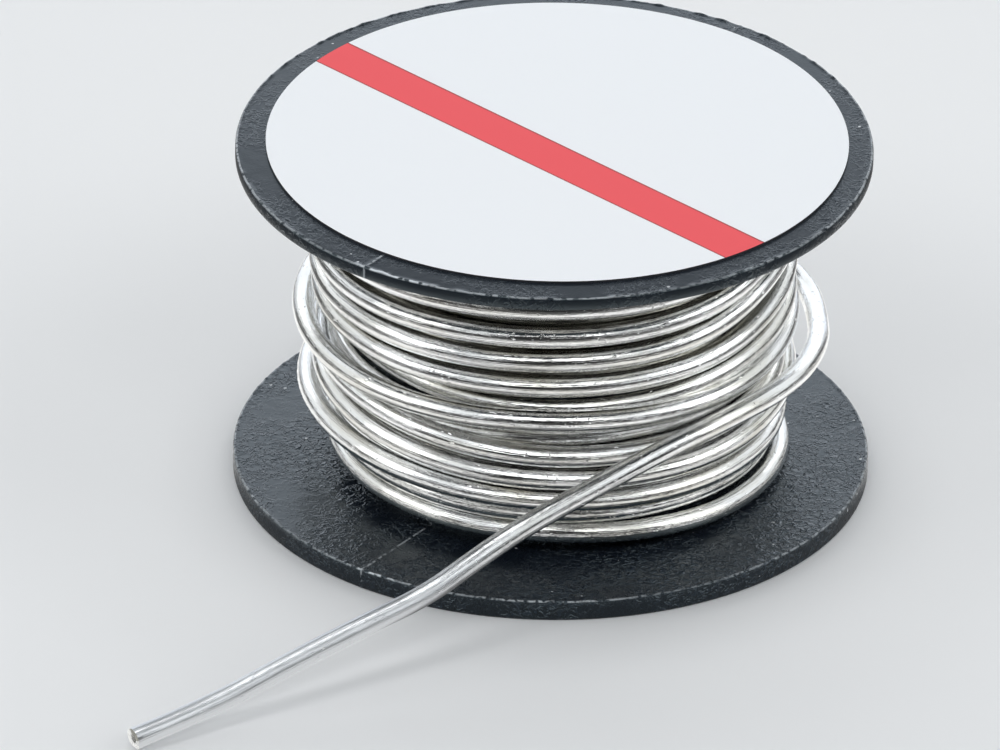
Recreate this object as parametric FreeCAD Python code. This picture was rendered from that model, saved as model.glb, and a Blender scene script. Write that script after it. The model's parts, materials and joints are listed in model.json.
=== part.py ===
import FreeCAD, Part
import math
import os

# Solder wire spool: a moulded spool with two flanges on a hollow hub, a round label on the upper
# flange, and 1 mm flux-cored solder wire wound on the hub with its free end lying out in front.
# Millimetres. Z is the spool's axis, Z = 0 is the underside it stands on, and the wire's free end
# runs out towards -X and -Y.

Vector = FreeCAD.Vector
os.makedirs("parts", exist_ok=True)

# Spool moulding
flange_d = 29.0
spool_h = 16.6
lower_flange_t = 0.95
upper_flange_t = 0.6
flange_edge_r = 0.1
hub_d = 18.4
hub_wall = 1.2

# Label
label_margin = 1.25
label_t = 0.1
label_off_x = 0.13
label_off_y = 0.26

# Wire
wire_d = 1.0
flux_d = 0.36
seat_clearance = 0.05
end_clearance = 0.15
layer_sink = 0.1
turn_gap = 0.45
winding_end_deg = 60.0

# Values that follow from the ones above
flange_r = flange_d / 2
hub_r = hub_d / 2
bore_r = hub_r - hub_wall
wire_r = wire_d / 2
lower_inner_z = lower_flange_t
upper_inner_z = spool_h - upper_flange_t
turn_r = hub_r + wire_r + wire_d - layer_sink
winding_top_z = upper_inner_z - end_clearance - wire_r
winding_bottom_z = lower_inner_z + end_clearance + wire_r
winding_travel = winding_top_z - winding_bottom_z
quarter_turns = int(4 * winding_travel / (wire_d + turn_gap))
winding_pitch = 4 * winding_travel / quarter_turns

# The free end's route after it leaves the winding: one loose turn round the outside, then out in
# front over the lower flange and down to the surface that the spool stands on. Each arc takes the
# same share of the shorter of its two runs.
first_run = 4.0
arc_share = 0.45
free_end_route = [
    Vector(12.35, 0.30, 2.10),
    Vector(10.00, -7.30, 2.80),
    Vector(3.85, -11.80, 3.45),
    Vector(-3.80, -11.85, 4.10),
    Vector(-10.05, -7.25, 4.60),
    Vector(-12.40, 0.10, 5.05),
    Vector(-9.95, 7.35, 5.50),
    Vector(-3.80, 11.90, 6.00),
    Vector(3.90, 11.95, 6.45),
    Vector(10.15, 7.35, 6.85),
    Vector(12.60, 0.85, 7.30),
    Vector(10.90, -6.30, 7.60),
    Vector(7.50, -9.52, 7.50),
    Vector(1.64, -13.36, 6.10),
    Vector(-4.80, -17.55, 3.35),
    Vector(-11.60, -22.00, 1.90),
    Vector(-18.67, -26.75, 0.52),
]


def flange(bottom_z, thickness):
    """A flat ring whose outer edges are slightly rounded, as moulded."""
    disc = Part.makeCylinder(flange_r, thickness, Vector(0, 0, bottom_z))
    disc = disc.makeFillet(flange_edge_r, [e for e in disc.Edges if len(e.Vertexes) == 1])
    return disc.cut(Part.makeCylinder(bore_r, thickness, Vector(0, 0, bottom_z)))


def ring(outer_r, inner_r, bottom_z, top_z):
    outer = Part.makeCylinder(outer_r, top_z - bottom_z, Vector(0, 0, bottom_z))
    return outer.cut(Part.makeCylinder(inner_r, top_z - bottom_z, Vector(0, 0, bottom_z)))


def turn_point(quarters):
    """The winding's centre line, counted in quarter turns back from its lower end."""
    angle = math.radians(winding_end_deg) + quarters * math.pi / 2
    height = winding_bottom_z + quarters * winding_pitch / 4
    return Vector(turn_r * math.cos(angle), turn_r * math.sin(angle), height)


def turn_direction(quarters):
    """The way the wire runs there, towards its free end: clockwise and down."""
    angle = math.radians(winding_end_deg) + quarters * math.pi / 2
    return Vector(
        turn_r * math.sin(angle), -turn_r * math.cos(angle), -winding_pitch / (2 * math.pi)
    ).normalize()


def arc_from_tangent(start, direction, end):
    """The circular arc from start to end that leaves start along direction."""
    chord = end - start
    along = Vector(chord).normalize()
    across = (direction - along * direction.dot(along)).normalize()
    rise = chord.Length / 2 * math.tan(direction.getAngle(chord) / 2)
    return Part.Arc(start, start + chord / 2 + across * rise, end).toShape()


def biarc(start, start_dir, end, end_dir):
    """Two arcs that join start to end, follow both directions and share a tangent."""
    span = end - start
    sum_dir = start_dir + end_dir
    a = 2 * (start_dir.dot(end_dir) - 1)
    b = -2 * span.dot(sum_dir)
    reach = (-b - math.sqrt(b * b - 4 * a * span.dot(span))) / (2 * a)
    near = start + start_dir * reach
    far = end - end_dir * reach
    middle = (near + far) / 2
    return [
        arc_from_tangent(start, start_dir, middle),
        arc_from_tangent(middle, (far - near).normalize(), end),
    ]


def winding_route():
    """One unbroken line from the top of the layer to its lower end, straight at both ends."""
    top = turn_point(quarter_turns)
    top_dir = turn_direction(quarter_turns)
    edges = [Part.LineSegment(top - top_dir * wire_d, top).toShape()]
    for quarters in range(quarter_turns, 0, -1):
        edges += biarc(
            turn_point(quarters),
            turn_direction(quarters),
            turn_point(quarters - 1),
            turn_direction(quarters - 1),
        )
    edges.append(Part.LineSegment(turn_point(0), winding_end()).toShape())
    return Part.Wire(edges)


def winding_end():
    return turn_point(0) + turn_direction(0) * wire_d


def rounded_route(points):
    """Straight runs joined by tangent arcs, each as large as its two runs allow."""
    edges = []
    radii = []
    here = points[0]
    for before, corner, after in zip(points, points[1:], points[2:]):
        back = before - corner
        ahead = after - corner
        half_turn = (math.pi - back.getAngle(ahead)) / 2
        setback = arc_share * min(back.Length, ahead.Length)
        radius = setback / math.tan(half_turn)
        back.normalize()
        ahead.normalize()
        inwards = (back + ahead).normalize()
        arc_start = corner + back * setback
        arc_middle = corner + inwards * (radius / math.cos(half_turn) - radius)
        arc_end = corner + ahead * setback
        edges.append(Part.LineSegment(here, arc_start).toShape())
        edges.append(Part.Arc(arc_start, arc_middle, arc_end).toShape())
        radii.append(radius)
        here = arc_end
    edges.append(Part.LineSegment(here, points[-1]).toShape())
    print("free end arc radii:", [round(r, 1) for r in radii])
    return Part.Wire(edges)


def tube(route, radius):
    """A round rod along a route."""
    first = route.OrderedEdges[0]
    direction = first.tangentAt(first.FirstParameter)
    section = Part.Wire([Part.makeCircle(radius, first.valueAt(first.FirstParameter), direction)])
    sweep = Part.BRepOffsetAPI.MakePipeShell(route)
    sweep.add(section)
    sweep.build()
    sweep.makeSolid()
    rod = sweep.shape()
    expected = math.pi * radius**2 * route.Length
    print("rod length", round(route.Length, 2), "volume ratio", round(rod.Volume / expected, 4))
    return rod


def least_gap_between_turns():
    """Clear distance between neighbouring turns, measured on points of the centre line."""
    steps_per_quarter = 30
    points = [turn_point(i / steps_per_quarter) for i in range(quarter_turns * steps_per_quarter + 1)]
    half_turn = 2 * steps_per_quarter
    return min(
        p.distanceToPoint(q) for i, p in enumerate(points) for q in points[i + half_turn :]
    ) - wire_d


free_end_start = winding_end()
free_end_points = [free_end_start, free_end_start + turn_direction(0) * first_run]
free_end = rounded_route(free_end_points + free_end_route)
print("turns in the outer layer:", quarter_turns / 4, "pitch:", round(winding_pitch, 3))
print("least gap between turns:", round(least_gap_between_turns(), 3))

flux_core = tube(free_end, flux_d / 2)
nodes = {
    "lower_flange": flange(0, lower_flange_t),
    "hub": ring(hub_r, bore_r, lower_inner_z, upper_inner_z),
    "upper_flange": flange(upper_inner_z, upper_flange_t),
    "label": Part.makeCylinder(
        flange_r - label_margin, label_t, Vector(label_off_x, label_off_y, spool_h)
    ),
    "inner_layers": ring(
        turn_r - wire_r - seat_clearance, hub_r + seat_clearance, lower_inner_z, upper_inner_z
    ),
    "outer_layer": tube(winding_route(), wire_r),
    "free_end": tube(free_end, wire_r).cut(flux_core),
    "flux_core": flux_core,
}

for name, shape in nodes.items():
    if not shape.isValid() or len(shape.Solids) != 1:
        raise ValueError(name + " is not one valid solid")
    shape.exportStep("parts/" + name + ".step")
    print(name, "volume", round(shape.Volume, 2))
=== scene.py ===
import json
import math

import bmesh
import bpy
from mathutils import Matrix, Vector, noise


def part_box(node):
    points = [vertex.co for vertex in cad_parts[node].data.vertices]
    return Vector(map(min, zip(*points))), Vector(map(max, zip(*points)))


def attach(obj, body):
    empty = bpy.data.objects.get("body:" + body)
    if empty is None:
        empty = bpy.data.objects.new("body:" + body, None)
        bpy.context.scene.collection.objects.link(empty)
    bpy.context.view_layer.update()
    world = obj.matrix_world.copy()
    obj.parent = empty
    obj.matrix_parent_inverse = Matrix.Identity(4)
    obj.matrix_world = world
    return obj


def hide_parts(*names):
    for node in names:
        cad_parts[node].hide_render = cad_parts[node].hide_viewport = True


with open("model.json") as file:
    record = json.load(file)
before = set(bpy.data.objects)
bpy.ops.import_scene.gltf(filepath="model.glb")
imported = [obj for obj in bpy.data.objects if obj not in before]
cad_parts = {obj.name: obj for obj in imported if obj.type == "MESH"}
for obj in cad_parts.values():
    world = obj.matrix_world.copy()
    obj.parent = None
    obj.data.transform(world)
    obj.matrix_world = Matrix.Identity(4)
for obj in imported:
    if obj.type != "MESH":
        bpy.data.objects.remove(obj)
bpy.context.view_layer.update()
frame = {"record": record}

mm = 0.001

# The studio: a pale matt floor and soft white light from all round. The bright wire mirrors what
# stands round it, so a glowing sheet behind it, seen only in reflections, paints a reflection there, and
# dark cloths stand on the camera's side, hang overhead and run low all round, where the camera doesn't see
# them.
scene = bpy.context.scene
scene.view_settings.view_transform = "Standard"


def plain_material(name, colour, roughness, metallic=0.0):
    material = bpy.data.materials.new(name)
    material.use_nodes = True
    shader = material.node_tree.nodes["Principled BSDF"]
    shader.inputs["Base Color"].default_value = (*colour, 1)
    shader.inputs["Roughness"].default_value = roughness
    shader.inputs["Metallic"].default_value = metallic
    return material


def mesh_object(name, form, material):
    mesh = bpy.data.meshes.new(name)
    form.to_mesh(mesh)
    form.free()
    mesh.materials.append(material)
    piece = bpy.data.objects.new(name, mesh)
    scene.collection.objects.link(piece)
    return piece


floor_half_width = 1.5
form = bmesh.new()
bmesh.ops.create_grid(form, x_segments=1, y_segments=1, size=floor_half_width)
floor_paint = plain_material("floor_paint", (0.83, 0.84, 0.85), 0.9)
nodes, links = floor_paint.node_tree.nodes, floor_paint.node_tree.links

# The floor as the wire mirrors it is a painted reflection: a painted pool of light in a ring
# round the spool, painted shadow under it, and darker further off.
mirrored = nodes.new("ShaderNodeEmission")
centred = nodes.new("ShaderNodeMapping")
centred.inputs["Location"].default_value = (0, 4 * mm, 0)
links.new(nodes.new("ShaderNodeTexCoord").outputs["Object"], centred.inputs["Vector"])
distance = nodes.new("ShaderNodeVectorMath")
distance.operation = "LENGTH"
links.new(centred.outputs["Vector"], distance.inputs[0])


def glow_ramp(value, reach, stops):
    """A grey glow by a length in metres, from its (length, brightness) stops."""
    share = nodes.new("ShaderNodeMapRange")
    share.inputs["From Max"].default_value = reach
    links.new(value, share.inputs["Value"])
    ramp = nodes.new("ShaderNodeValToRGB")
    while len(ramp.color_ramp.elements) < len(stops):
        ramp.color_ramp.elements.new(1.0)
    for stop, (length, glow) in zip(ramp.color_ramp.elements, stops):
        stop.position = length / reach
        stop.color = (glow, glow, glow, 1)
    links.new(share.outputs["Result"], ramp.inputs["Fac"])
    return ramp.outputs["Color"]


lit_ring = [(0.0145, 0.20), (0.0160, 1.0), (0.030, 1.0), (0.038, 0.18), (0.110, 0.12)]
lit_ring_reach = 0.120
floor_glow = glow_ramp(distance.outputs["Value"], lit_ring_reach, lit_ring)
links.new(floor_glow, mirrored.inputs["Color"])
mirrored.inputs["Strength"].default_value = 1.2
floor_mix = nodes.new("ShaderNodeMixShader")
links.new(nodes.new("ShaderNodeLightPath").outputs["Is Glossy Ray"], floor_mix.inputs["Fac"])
links.new(nodes["Principled BSDF"].outputs["BSDF"], floor_mix.inputs[1])
links.new(mirrored.outputs["Emission"], floor_mix.inputs[2])
links.new(floor_mix.outputs["Shader"], nodes["Material Output"].inputs["Surface"])
floor = mesh_object("floor", form, floor_paint)

screen_cloth = plain_material("screen_cloth", (0.03, 0.03, 0.03), 0.9)
form = bmesh.new()
bmesh.ops.create_grid(form, x_segments=1, y_segments=1, size=1)
screen_turn = Matrix.Rotation(math.radians(62), 4, "X")
screen_place = Matrix.Translation((0, -0.30, 0.14)) @ screen_turn @ Matrix.Diagonal((0.14, 0.06, 1, 1))
bmesh.ops.transform(form, matrix=screen_place, verts=form.verts)
screen = mesh_object("dark_screen", form, screen_cloth)
screen.visible_camera = False

# A painted reflection: the reflector is a sheet that glows only where wire and plastic mirror it, lighting
# nothing and casting no shadow; bright up to 43 mm, nearly dark above, fading at the sides.
reflector_width, reflector_height, reflector_back = 0.12, 0.085, 0.050
glowing_sheet = plain_material("glowing_sheet", (0, 0, 0), 1.0)
nodes, links = glowing_sheet.node_tree.nodes, glowing_sheet.node_tree.links
over_ground = nodes.new("ShaderNodeSeparateXYZ")
links.new(nodes.new("ShaderNodeTexCoord").outputs["Object"], over_ground.inputs["Vector"])
sheet_shader = nodes["Principled BSDF"]
sheet_shader.inputs["Emission Color"].default_value = (1.32, 1.40, 1.53, 1)
lit_height = [(0.0, 1.0), (0.043, 1.0), (0.049, 0.05)]
sheet_glow = glow_ramp(over_ground.outputs["Z"], reflector_height, lit_height)
links.new(sheet_glow, sheet_shader.inputs["Emission Strength"])
off_centre = nodes.new("ShaderNodeMath")
off_centre.operation = "ABSOLUTE"
links.new(over_ground.outputs["X"], off_centre.inputs[0])
faded_sides = glow_ramp(off_centre.outputs[0], reflector_width / 2, [(0.026, 1.0), (0.058, 0.0)])
links.new(faded_sides, sheet_shader.inputs["Alpha"])
form = bmesh.new()
bmesh.ops.create_grid(form, x_segments=1, y_segments=1, size=0.5)
sheet_place = (
    Matrix.Translation((0, reflector_back, reflector_height / 2))
    @ Matrix.Rotation(math.pi / 2, 4, "X")
    @ Matrix.Diagonal((reflector_width, reflector_height, 1, 1))
)
bmesh.ops.transform(form, matrix=sheet_place, verts=form.verts)
reflector = mesh_object("reflector", form, glowing_sheet)
reflector.visible_camera = False
reflector.visible_diffuse = False
reflector.visible_shadow = False


def dark_ring(name, inner, outer, sweep=360):
    """Matt black cloth all round or round the front, between two (radius, height) in metres."""
    form = bmesh.new()
    start = math.radians(-90 - sweep / 2)
    side = [form.verts.new((r * math.cos(start), r * math.sin(start), z)) for r, z in (inner, outer)]
    edge = form.edges.new(side)
    bmesh.ops.spin(
        form, geom=side + [edge], cent=(0, 0, 0), axis=(0, 0, 1), angle=math.radians(sweep), steps=96,
        use_merge=sweep == 360,
    )
    ring = mesh_object(name, form, screen_cloth)
    ring.visible_camera = False
    return ring


hoop = dark_ring("dark_hoop", (0.115, 0.40), (0.235, 0.40))
wall = dark_ring("dark_wall", (0.36, 0.0), (0.36, 0.125), sweep=120)
skirt = dark_ring("dark_skirt", (0.37, 0.0), (0.37, 0.045))

world = bpy.data.worlds.new("studio_air")
world.use_nodes = True
world.node_tree.nodes["Background"].inputs["Color"].default_value = (0.95, 0.98, 1.0, 1)
world_nodes, world_links = world.node_tree.nodes, world.node_tree.links
air_light, mirrored_light = 0.64, 1.1
seen_as = world_nodes.new("ShaderNodeLightPath")
strength = world_nodes.new("ShaderNodeMapRange")
strength.inputs["To Min"].default_value = air_light
strength.inputs["To Max"].default_value = mirrored_light
world_links.new(seen_as.outputs["Is Glossy Ray"], strength.inputs["Value"])
world_links.new(strength.outputs["Result"], world_nodes["Background"].inputs["Strength"])
scene.world = world


spool_middle = Vector((0, 0, 0.008))


def softbox(name, place, width, height, power):
    lamp = bpy.data.lights.new(name, "AREA")
    lamp.shape = "RECTANGLE"
    lamp.size = width
    lamp.size_y = height
    lamp.energy = power
    holder = bpy.data.objects.new(name, lamp)
    holder.location = place
    holder.rotation_mode = "QUATERNION"
    holder.rotation_quaternion = (spool_middle - Vector(place)).to_track_quat("-Z", "Y")
    scene.collection.objects.link(holder)


softbox("softbox_above", (0.0, 0.06, 0.52), 0.20, 0.20, 0.45)
softbox("softbox_front", (0.0, -0.31, 0.335), 0.36, 0.12, 0.30)
softbox("softbox_left", (-0.42, -0.12, 0.26), 0.30, 0.30, 0.36)
softbox("softbox_right", (0.42, -0.12, 0.26), 0.30, 0.30, 0.36)
softbox("softbox_back", (0.0, 0.42, 0.24), 0.60, 0.15, 0.60)

# The camera, at the height, roll and distance that the outlines of the flanges give.
view_elevation = math.radians(28.97)
view_roll = math.radians(0.693)
view_target = Vector((-2.346, 0, 4.650)) * mm
view_distance = 1377.5 * mm
lens = bpy.data.cameras.new("camera")
lens.lens = 1087.28
lens.sensor_width = 36
camera = bpy.data.objects.new("camera", lens)
camera.matrix_world = (
    Matrix.Translation(view_target)
    @ Matrix.Rotation(math.pi / 2 - view_elevation, 4, "X")
    @ Matrix.Translation((0, 0, view_distance))
    @ Matrix.Rotation(view_roll, 4, "Z")
)
scene.collection.objects.link(camera)
scene.camera = camera

# The spool is one injection moulding in black plastic: two flanges on a hollow hub. Its faces have
# a fine leathery grain from the mould, and thin beads of flash stand along the flanges' upper edges
# and along the seam where the mould's two halves met, painted pale there as glints, with some rubbing.
lower_corners, upper_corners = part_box("lower_flange"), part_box("upper_flange")
spool_r, lower_top = lower_corners[1].x / mm, lower_corners[1].z / mm
upper_bottom, upper_top = upper_corners[0].z / mm, upper_corners[1].z / mm
hub_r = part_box("hub")[1].x / mm
mounts = {mount["name"]: mount for mount in frame["record"]["mounts"]}
bore_r = mounts["spindle_bore"]["dims"]["r_mm"]
rim_radius = 0.1
flash_height = 0.05
seam_height = 0.03
seam_angle = math.radians(-126)
grain_depth = 0.075
lower_grain, upper_grain = 0.010, 0.004
grain_rings, grain_ring_gap = 32, 0.16
grain_inner_r, grain_outer_r = 9.0, spool_r - grain_ring_gap
grain_scale, flash_scale = 2100, 2200
spin_steps = 720

plastic = plain_material("spool_plastic", (0.030, 0.036, 0.044), 0.30)
nodes, links = plastic.node_tree.nodes, plastic.node_tree.links
shader = nodes["Principled BSDF"]
shader.inputs["IOR"].default_value = 1.59
shader.inputs["Specular Tint"].default_value = (0.80, 0.96, 1.0, 1)


def maths(operation, first, second=None):
    node = nodes.new("ShaderNodeMath")
    node.operation = operation
    for socket, value in zip(node.inputs, (first, second)):
        if isinstance(value, (int, float)):
            socket.default_value = value
        elif value is not None:
            links.new(value, socket)
    return node.outputs[0]


def noise_on(vector, scale, detail, distortion=0.0):
    node = nodes.new("ShaderNodeTexNoise")
    node.inputs["Scale"].default_value = scale
    node.inputs["Detail"].default_value = detail
    node.inputs["Distortion"].default_value = distortion
    links.new(vector, node.inputs["Vector"])
    return node.outputs["Fac"]


def spread(value, low, high, to_low=0.0, to_high=1.0):
    node = nodes.new("ShaderNodeMapRange")
    for name, number in (("From Min", low), ("From Max", high), ("To Min", to_low), ("To Max", to_high)):
        node.inputs[name].default_value = number
    links.new(value, node.inputs["Value"])
    return node.outputs["Result"]


def near(value, middle, reach):
    """1 where the value is at the middle, falling to 0 at the reach on both sides."""
    return spread(maths("ABSOLUTE", maths("SUBTRACT", value, middle)), 0.5 * reach, reach, 1.0, 0.0)


def blend_colour(share, first, second):
    node = nodes.new("ShaderNodeMix")
    node.data_type = "RGBA"
    for socket, colour in (("A", first), ("B", second)):
        if isinstance(colour, tuple):
            node.inputs[socket].default_value = (*colour, 1)
        else:
            links.new(colour, node.inputs[socket])
    links.new(share, node.inputs["Factor"])
    return node.outputs["Result"]


def shape_by(relief, depth):
    """Lets the relief, in millimetres, turn the surface's normals."""
    node = nodes.new("ShaderNodeBump")
    node.inputs["Strength"].default_value = 1.0
    node.inputs["Distance"].default_value = depth * mm
    links.new(relief, node.inputs["Height"])
    links.new(node.outputs["Normal"], shader.inputs["Normal"])


# The grain: wrinkles with pores between them, in patches that fade towards the upper flange.
place = nodes.new("ShaderNodeTexCoord").outputs["Object"]
waves = maths("SUBTRACT", maths("MULTIPLY", noise_on(place, 2700, 1.5, 0.8), 2.0), 1.0)
wrinkles = spread(maths("SUBTRACT", 1.0, maths("ABSOLUTE", waves)), 0.83, 1.0)
pores = nodes.new("ShaderNodeTexVoronoi")
pores.feature = "SMOOTH_F1"
pores.inputs["Scale"].default_value = 3400
links.new(place, pores.inputs["Vector"])
apart = nodes.new("ShaderNodeSeparateXYZ")
links.new(place, apart.inputs["Vector"])
patches = spread(noise_on(place, 230, 2), 0.40, 0.64, 0.06, 1.0)
patches = maths("MULTIPLY", patches, spread(apart.outputs["Z"], 2 * mm, 14 * mm, 1.0, 0.21))
pored = maths("ADD", wrinkles, maths("MULTIPLY", pores.outputs["Distance"], 0.5))
fine_grain = maths("MULTIPLY", noise_on(place, 9000, 2), 0.06)
leather = maths("ADD", maths("MULTIPLY", pored, patches), fine_grain)
shape_by(leather, grain_depth)

# Painted highlights, with some rubbing: glints painted pale on the flash beads along the flanges'
# upper edges and the seam, in uneven stretches, strongest a little left of the middle.
squares = [maths("POWER", apart.outputs[axis], 2.0) for axis in "XY"]
from_axis = maths("DIVIDE", maths("SQRT", maths("ADD", *squares)), mm)
height = maths("DIVIDE", apart.outputs["Z"], mm)
on_top = maths("MAXIMUM", near(height, upper_top, 0.16), near(height, lower_top, 0.16))
on_edge = maths("MULTIPLY", on_top, near(from_axis, spool_r - 0.07, 0.06))
across_seam = nodes.new("ShaderNodeMapping")
across_seam.inputs["Rotation"].default_value = (0, 0, -seam_angle)
links.new(place, across_seam.inputs["Vector"])
seam_parts = nodes.new("ShaderNodeSeparateXYZ")
links.new(across_seam.outputs["Vector"], seam_parts.inputs["Vector"])
on_seam = near(maths("DIVIDE", seam_parts.outputs["Y"], mm), 0.0, 0.07)
bead = spread(noise_on(place, 3200, 1), 0.40, 0.52)
past_left = spread(apart.outputs["X"], -9.2 * mm, -8.2 * mm, 0.4, 1.0)
before_right = spread(apart.outputs["X"], -5.0 * mm, 4 * mm, 1.0, 0.4)
stretches = spread(noise_on(place, 130, 1), 0.38, 0.52, 0.5, 1.0)
glint_and_wear = maths("MULTIPLY", maths("MULTIPLY", past_left, before_right), stretches)
edges_and_seam = maths("MAXIMUM", on_edge, maths("MULTIPLY", on_seam, 0.5))
glints_and_rubbing = maths("MULTIPLY", edges_and_seam, maths("MULTIPLY", bead, glint_and_wear))
dust = spread(noise_on(place, 3000, 0), 0.845, 0.86)
# Painted shade: the plastic's colour follows the grain's relief, darker in its hollows and where the grain is
# faint.
grain_shaded_colour = blend_colour(leather, (0.007, 0.010, 0.016), (0.021, 0.030, 0.044))
glinting_worn_colour = blend_colour(glints_and_rubbing, grain_shaded_colour, (0.70, 0.74, 0.78))
links.new(blend_colour(dust, glinting_worn_colour, (0.6, 0.62, 0.64)), shader.inputs["Base Color"])
links.new(spread(leather, 0.0, 1.2, 0.28, 0.20), shader.inputs["Roughness"])


def turned(profile):
    """The profile's (radius, height) points in millimetres, turned once round the spool's axis."""
    form = bmesh.new()
    ring = [form.verts.new((r * mm, 0, z * mm)) for r, z in profile]
    edges = [form.edges.new(pair) for pair in zip(ring, ring[1:] + ring[:1])]
    bmesh.ops.spin(
        form, geom=ring + edges, cent=(0, 0, 0), axis=(0, 0, 1), angle=2 * math.pi,
        steps=spin_steps, use_merge=True,
    )
    bmesh.ops.remove_doubles(form, verts=form.verts, dist=1e-7)
    bmesh.ops.recalc_face_normals(form, faces=form.faces)
    return form


def rounded_edge(r, z, across, up):
    """Four points of a small round between an outer rim at radius r and a face at height z."""
    steps = 4
    centre_r, centre_z = r - across * rim_radius, z - up * rim_radius
    return [
        (centre_r + across * rim_radius * math.cos(a), centre_z + up * rim_radius * math.sin(a))
        for a in [math.pi / 2 * i / (steps - 1) for i in range(steps)]
    ]


def flange(name, bottom, top, grain):
    lower_round = rounded_edge(spool_r, bottom, 1, -1)[::-1]
    upper_round = rounded_edge(spool_r, top, 1, 1)
    profile = [(r, bottom) for r in (bore_r, bore_r + 0.4, 11.0, spool_r - 0.3)]
    profile += lower_round + [(spool_r, (bottom + top) / 2)] + upper_round
    profile += [(grain_outer_r - grain_ring_gap * ring, top) for ring in range(grain_rings)]
    profile += [(bore_r + 0.4, top), (bore_r, top)]
    form = turned(profile)
    for vert in form.verts:
        r = math.hypot(vert.co.x, vert.co.y) / mm
        angle = math.atan2(vert.co.y, vert.co.x) % math.pi
        on_seam = abs(angle - seam_angle % math.pi) < 0.5 * math.pi / spin_steps
        if vert.co.z > (top - 0.02) * mm and r > grain_inner_r:
            if r < spool_r - rim_radius - 0.02:
                vert.co.z += grain * mm * noise.noise(vert.co * grain_scale)
            else:
                vert.co.z += flash_height * mm * max(0, 0.25 + 1.3 * noise.noise(vert.co * flash_scale))
            if on_seam:
                vert.co.z += seam_height * mm
        elif on_seam and r > spool_r - 0.02:
            vert.co.x *= 1 + seam_height / spool_r
            vert.co.y *= 1 + seam_height / spool_r
    piece = mesh_object(name, form, plastic)
    piece.data.shade_smooth()
    piece.data.set_sharp_from_angle(angle=math.radians(40))
    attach(piece, "root")
    return piece


lower_flange = flange("lower_flange_moulded", 0, lower_top, lower_grain)
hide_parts("lower_flange")
upper_flange = flange("upper_flange_moulded", upper_bottom, upper_top, upper_grain)
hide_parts("upper_flange")

hub_middle = 8.5
hub_profile = [
    (bore_r, lower_top), (hub_r, lower_top), (hub_r, hub_middle),
    (hub_r, upper_bottom), (bore_r, upper_bottom), (bore_r, hub_middle),
]
hub = mesh_object("hub_moulded", turned(hub_profile), plastic)
hub.data.shade_smooth()
hub.data.set_sharp_from_angle(angle=math.radians(40))
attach(hub, "root")
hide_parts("hub")

# The label is a round sheet of white coated paper, 0.1 mm thick with its adhesive, stuck a little off
# centre on the upper flange. A red band with thin darker edges crosses it; the rest is left bare.
label_r, label_thickness = 13.25, 0.1
label_x, label_y = 0.13, 0.26
band_turn = math.radians(44.27)
label_paper = plain_material("label_print", (0.80, 0.83, 0.86), 0.5)
label_paper.node_tree.nodes["Principled BSDF"].inputs["Specular IOR Level"].default_value = 0.2
# The label's side faces are painted near black: a painted shadow line round its edge.
label_edge_shadow = plain_material("label_edge_shadow_paint", (0.03, 0.03, 0.035), 0.6)
nodes, links = label_paper.node_tree.nodes, label_paper.node_tree.links
shader = nodes["Principled BSDF"]
place = nodes.new("ShaderNodeTexCoord").outputs["Object"]
turn = nodes.new("ShaderNodeMapping")
turn.inputs["Rotation"].default_value = (0, 0, band_turn)
links.new(place, turn.inputs["Vector"])
split = nodes.new("ShaderNodeSeparateXYZ")
links.new(turn.outputs["Vector"], split.inputs["Vector"])
band_low, band_high, band_line = -2.20, 0.13, 0.07
ramp_low, ramp_high = -3.0, 1.0
band = nodes.new("ShaderNodeValToRGB")
band.color_ramp.interpolation = "CONSTANT"
white, red, dark_red = (0.855, 0.88, 0.91, 1), (0.87, 0.085, 0.10, 1), (0.36, 0.03, 0.035, 1)
stops = [
    (ramp_low, white), (band_low, dark_red), (band_low + band_line, red),
    (band_high - band_line, dark_red), (band_high, white),
]
while len(band.color_ramp.elements) < len(stops):
    band.color_ramp.elements.new(1.0)
for stop, (at, colour) in zip(band.color_ramp.elements, stops):
    stop.position = (at - ramp_low) / (ramp_high - ramp_low)
    stop.color = colour
links.new(spread(split.outputs["Y"], ramp_low * mm, ramp_high * mm), band.inputs["Fac"])
links.new(band.outputs["Color"], shader.inputs["Base Color"])
shape_by(noise_on(place, 900, 4), 0.005)
form = bmesh.new()
bmesh.ops.create_circle(form, cap_ends=True, segments=256, radius=label_r * mm)
bmesh.ops.translate(form, verts=form.verts, vec=(label_x * mm, label_y * mm, upper_top * mm))
raised = bmesh.ops.extrude_face_region(form, geom=form.faces[:])["geom"]
raised_verts = [part for part in raised if isinstance(part, bmesh.types.BMVert)]
bmesh.ops.translate(form, verts=raised_verts, vec=(0, 0, label_thickness * mm))
bmesh.ops.recalc_face_normals(form, faces=form.faces)
label = mesh_object("label_sheet", form, label_paper)
label.data.materials.append(label_edge_shadow)
for face in label.data.polygons:
    if abs(face.normal.z) < 0.5:
        face.material_index = 1
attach(label, "root")
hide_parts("label")

# The solder wire: bright tin alloy, 1 mm thick, with a core of flux. One unbroken length of it comes
# out of the hub's wall, winds up the hub, back down over itself, loosely up again, and ends in the
# free end in front, cut off.
wire_r = 0.5
steps_per_turn = 16
half_turn = steps_per_turn // 2
control_ratio = 4 / (3 + math.cos(2 * math.pi / steps_per_turn))
first_layer_r = 9.65
first_layer_turns = 6
first_layer_bottom, first_layer_top = 9.9, 15.4

# The inner end starts this far below the first layer, in the hub's wall, and comes out in two steps.
hub_hole_depth, hub_hole_steps = 1.15, 2

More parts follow.
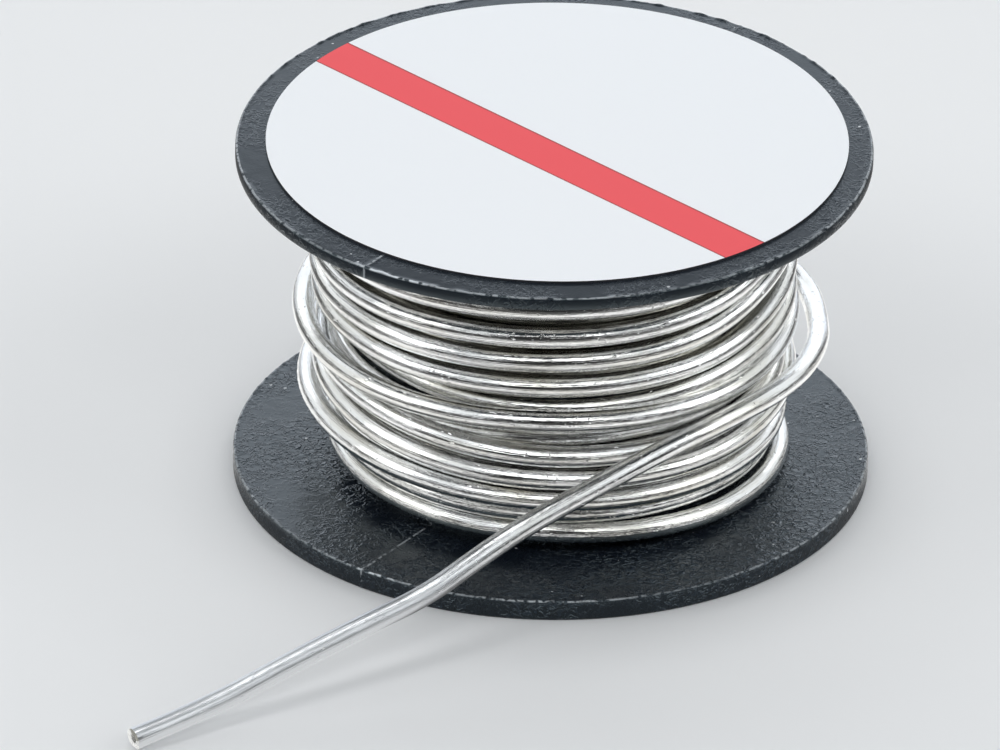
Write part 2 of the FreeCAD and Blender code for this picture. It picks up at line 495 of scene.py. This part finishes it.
# Each later turn from the right round the front to the left: heights of the wire's middle above
# the ground at every sixteenth of a turn, its distances from the axis at every eighth, and how far
# it stands out where it crosses other turns at the back.
turns = [
    ((15.10, 14.55, 14.07, 13.92, 13.92, 13.80, 13.60, 13.40, 13.30), (10.62, 10.62, 10.62, 10.62, 10.62), 0),
    ((14.20, 13.50, 12.74, 12.52, 12.48, 12.40, 12.23, 12.12, 12.05), (10.62, 10.62, 10.62, 10.62, 10.62), 0),
    ((13.38, 12.58, 11.54, 11.27, 11.24, 11.14, 11.03, 10.98, 10.90), (10.85, 10.62, 10.62, 10.62, 10.62), 0),
    ((11.15, 10.68, 10.10, 9.97, 9.95, 9.90, 9.86, 9.92, 9.85), (10.65, 10.62, 10.62, 10.62, 10.50), 0),
    ((9.60, 9.22, 8.87, 8.64, 8.50, 8.62, 8.95, 9.15, 9.15), (10.65, 10.45, 10.00, 9.85, 9.75), -0.20),
    ((8.05, 7.80, 7.60, 7.57, 7.55, 7.55, 7.55, 7.55, 7.50), (10.15, 10.05, 9.90, 9.70, 9.66), 0),
    ((7.00, 6.95, 6.90, 6.85, 6.80, 6.75, 6.70, 6.65, 6.60), (9.66, 9.66, 9.66, 9.66, 9.66), 0),
    ((5.90, 5.85, 5.80, 5.75, 5.70, 5.65, 5.60, 5.55, 5.50), (9.66, 9.66, 9.66, 9.66, 9.66), 0),
    ((4.85, 4.80, 4.75, 4.68, 4.60, 4.55, 4.50, 4.45, 4.40), (9.66, 9.66, 9.66, 9.66, 9.66), 0),
    ((2.50, 2.60, 2.78, 2.92, 3.05, 3.12, 3.20, 3.22, 3.20), (9.70, 9.80, 9.85, 9.85, 9.66), 0),
    ((1.47, 1.55, 1.68, 1.90, 2.10, 2.08, 2.10, 2.22, 2.40), (10.42, 10.26, 9.92, 9.76, 9.80), 1.00),
    ((3.55, 3.65, 3.74, 3.85, 4.05, 4.30, 4.58, 4.72, 4.78), (10.20, 10.45, 10.60, 11.00, 11.12), 0),
    ((5.60, 5.25, 5.02, 5.05, 5.15, 5.30, 5.58, 5.90, 6.10), (10.66, 10.62, 10.60, 10.60, 10.45), 0.12),
    ((6.30, 6.25, 6.20, 6.22, 6.30, 6.55, 6.90, 7.15, 7.30), (10.15, 10.48, 10.60, 10.60, 10.50), 0.30),
    ((8.62, 8.36, 8.14, 8.24, 8.36, 8.32, 8.26, 8.28, 8.32), (10.75, 10.95, 10.95, 11.15, 11.35), 0),
]
free_end_route = [
    (-10.82, 4.48, 8.35), (-8.40, 8.45, 8.28), (-4.60, 11.15, 8.05), (0.00, 12.05, 7.75),
    (4.60, 11.25, 7.40), (9.10, 9.00, 7.15), (11.62, 5.50, 6.60), (12.12, 2.00, 6.85),
    (12.18, -1.60, 7.25), (10.86, -5.60, 7.45), (7.90, -9.25, 7.58), (5.20, -11.00, 7.02),
    (1.64, -13.34, 6.06), (-1.20, -15.20, 5.24), (-3.60, -16.77, 4.18), (-5.60, -18.08, 3.22),
    (-8.10, -19.72, 2.72), (-11.60, -22.01, 1.92), (-15.20, -24.37, 0.90), (-18.67, -26.75, 0.52),
]

route = []


def lay_at(angle, radius, height):
    """Adds the route's next point; the angle is counted from the right, clockwise from above."""
    r = radius * control_ratio * mm
    route.append((r * math.cos(angle), -r * math.sin(angle), height * mm))


first_layer_steps = first_layer_turns * steps_per_turn
for step in range(first_layer_steps):
    height = first_layer_bottom + (first_layer_top - first_layer_bottom) * step / first_layer_steps
    sunk = hub_hole_depth * max(0, 1 - step / hub_hole_steps)
    lay_at(2 * math.pi * step / steps_per_turn, first_layer_r - sunk, height)
for number, (heights, radii, stand_out) in enumerate(turns):
    last = number == len(turns) - 1
    next_heights, next_radii, _ = turns[number if last else number + 1]
    for step in range(steps_per_turn):
        if step <= half_turn:
            low = min(step // 2, 3)
            share = step / 2 - low
            height = heights[step]
            radius = radii[low] * (1 - share) + radii[low + 1] * share
        elif last:
            break
        else:
            past = (step - half_turn) / half_turn
            share = past * past * (3 - 2 * past)
            height = heights[-1] * (1 - share) + next_heights[0] * share
            radius = radii[-1] * (1 - share) + next_radii[0] * share
            radius += stand_out * math.sin(math.pi * past)
        lay_at(2 * math.pi * step / steps_per_turn, radius, height)
route += [(x * mm, y * mm, z * mm) for x, y, z in free_end_route]

line = bpy.data.curves.new("wire_route", "CURVE")
line.dimensions = "3D"
line.resolution_u = 6
line.twist_mode = "Z_UP"
spline = line.splines.new("NURBS")
spline.points.add(len(route) - 1)
for point, at in zip(spline.points, route):
    point.co = (*at, 1)
spline.order_u = 3
spline.use_endpoint_u = True
route_object = bpy.data.objects.new("wire_route", line)
wire_path = [v.co.copy() for v in bpy.data.meshes.new_from_object(route_object).vertices]
wire_length = sum((b - a).length for a, b in zip(wire_path, wire_path[1:]))
line.bevel_depth = wire_r * mm
line.bevel_resolution = 6
line.use_fill_caps = True
wire_mesh = bpy.data.meshes.new_from_object(route_object)

# The cutters left the end squeezed: its outline comes to a point low on one side, its edge is
# turned over, and the flux core's hole in it is drawn out the same way.
cut_place = wire_path[-1]
cut_way = (wire_path[-1] - wire_path[-2]).normalized()
cut_up = (Vector((0, 0, 1)) - cut_way * cut_way.z).normalized()
cut_side = cut_way.cross(cut_up)
long_way = (cut_side + cut_up).normalized()
thin_way = cut_way.cross(long_way)
squeeze_reach = 1.3
cut_insets = ((0.05, 0.03), (0.24, -0.02), (0.03, -0.10), (0.01, -0.5))


def closes_cut_end(face):
    near_cut = (face.calc_center_median() - cut_place).length < 0.45 * mm
    return near_cut and abs(face.normal.dot(cut_way)) > 0.9


form = bmesh.new()
form.from_mesh(wire_mesh)
bmesh.ops.remove_doubles(form, verts=form.verts, dist=1e-6)
cap_faces = [face for face in form.faces if closes_cut_end(face)]
cap = bmesh.ops.dissolve_faces(form, faces=cap_faces, use_verts=False)["region"][0]
bmesh.ops.subdivide_edges(
    form, cuts=3, use_grid_fill=False,
    edges=[e for v in cap.verts for e in v.link_edges if not any(f == cap for f in e.link_faces)],
)
for thickness, depth in cut_insets:
    bmesh.ops.inset_region(
        form, faces=[cap], thickness=thickness * mm, depth=depth * mm, use_even_offset=True,
    )
for vert in form.verts:
    away = vert.co - cut_place
    back = -away.dot(cut_way) / mm
    if away.length < 2 * mm and back < squeeze_reach:
        share = (1 - max(0, back) / squeeze_reach) ** 2
        lengthwise, thickwise = away.dot(long_way), away.dot(thin_way)
        point = max(0, -lengthwise / (wire_r * mm))
        squeeze = 0.10 + 0.55 * point * point
        vert.co += long_way * (0.06 * share * lengthwise) - thin_way * (squeeze * share * thickwise)
wire_mesh = bpy.data.meshes.new("solder_wire")
form.to_mesh(wire_mesh)
form.free()

# The metal is drawn tin: bright, with fine lines along it, faint dull patches and a few small nicks.
# The first layer, deep in the winding, is painted dark as shade, and the free end is dulled by handling.
tin = plain_material("solder", (0.84, 0.83, 0.80), 0.18, metallic=1.0)
nodes, links = tin.node_tree.nodes, tin.node_tree.links
shader = nodes["Principled BSDF"]
where = nodes.new("ShaderNodeUVMap")
where.uv_map = "UVMap"
split = nodes.new("ShaderNodeSeparateXYZ")
links.new(where.outputs["UV"], split.inputs["Vector"])
along = maths("MULTIPLY", split.outputs["X"], wire_length / mm)
turn_round = maths("MULTIPLY", split.outputs["Y"], 2 * math.pi)


def on_wire(stretch):
    """A place on the wire's skin that closes round it; stretch is how far a pattern is drawn out."""
    node = nodes.new("ShaderNodeCombineXYZ")
    links.new(maths("COSINE", turn_round), node.inputs["X"])
    links.new(maths("SINE", turn_round), node.inputs["Y"])
    links.new(maths("DIVIDE", along, stretch * wire_r), node.inputs["Z"])
    return node.outputs["Vector"]


handled = spread(along, wire_length / mm - 30, wire_length / mm - 14)
draw_lines = noise_on(on_wire(70), 9.0, 3)
scratches = noise_on(on_wire(7), 11.0, 2)
ripples = noise_on(on_wire(9), 0.9, 2)
dull_patches = noise_on(on_wire(6), 0.7, 3, 0.6)
nicks = spread(noise_on(on_wire(1.6), 2.6, 1), 0.70, 0.80)
relief = maths("ADD", maths("MULTIPLY", draw_lines, 0.014), maths("MULTIPLY", ripples, 0.03))
relief = maths("ADD", relief, maths("MULTIPLY", scratches, 0.006))
shape_by(maths("SUBTRACT", relief, maths("MULTIPLY", nicks, 0.02)), 1.0)
dullness = maths("ADD", spread(dull_patches, 0.45, 0.75, 0.0, 0.08), maths("MULTIPLY", handled, 0.24))
links.new(maths("ADD", spread(draw_lines, 0.3, 0.7, 0.03, 0.08), dullness), shader.inputs["Roughness"])
tarnish = spread(dull_patches, 0.42, 0.80, 0.0, 0.8)
wound_colour = blend_colour(tarnish, (0.79, 0.795, 0.79), (0.56, 0.54, 0.46))
# Painted shade: the first layer, deep under the later turns, is darkened.
first_layer_length = 2 * math.pi * first_layer_r * first_layer_turns
deep_shade = spread(along, first_layer_length - 14, first_layer_length - 2, 1.0, 0.0)
wound_colour = blend_colour(deep_shade, wound_colour, (0.30, 0.295, 0.26))
links.new(blend_colour(handled, wound_colour, (0.51, 0.525, 0.54)), shader.inputs["Base Color"])

wire_mesh.materials.append(tin)
wire = bpy.data.objects.new("solder_wire", wire_mesh)
scene.collection.objects.link(wire)
wire_mesh.shade_smooth()
wire_mesh.set_sharp_from_angle(angle=math.radians(50))
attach(wire, "root")
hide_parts("inner_layers", "outer_layer", "free_end")

# The flux core: dark amber rosin that fills the wire's middle, seen at the bottom of the cut end's
# hole. Only its last stretch is modelled, since the metal hides the rest.
rosin = plain_material("flux", (0.10, 0.055, 0.02), 0.35)
flux_r = 0.17
stretch_start, stretch_end = -4.0, -0.42
form = bmesh.new()
bmesh.ops.create_uvsphere(form, u_segments=20, v_segments=10, radius=flux_r * mm)
for vert in form.verts:
    forward = vert.co.z > 0
    vert.co.z = vert.co.z * 0.5 + (stretch_end if forward else stretch_start) * mm
core_turn = Matrix((cut_side, cut_way.cross(cut_side), cut_way)).transposed().to_4x4()
bmesh.ops.transform(form, matrix=Matrix.Translation(cut_place) @ core_turn, verts=form.verts)
bmesh.ops.recalc_face_normals(form, faces=form.faces)
core = mesh_object("flux_core_end", form, rosin)
core.data.shade_smooth()
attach(core, "root")
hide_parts("flux_core")
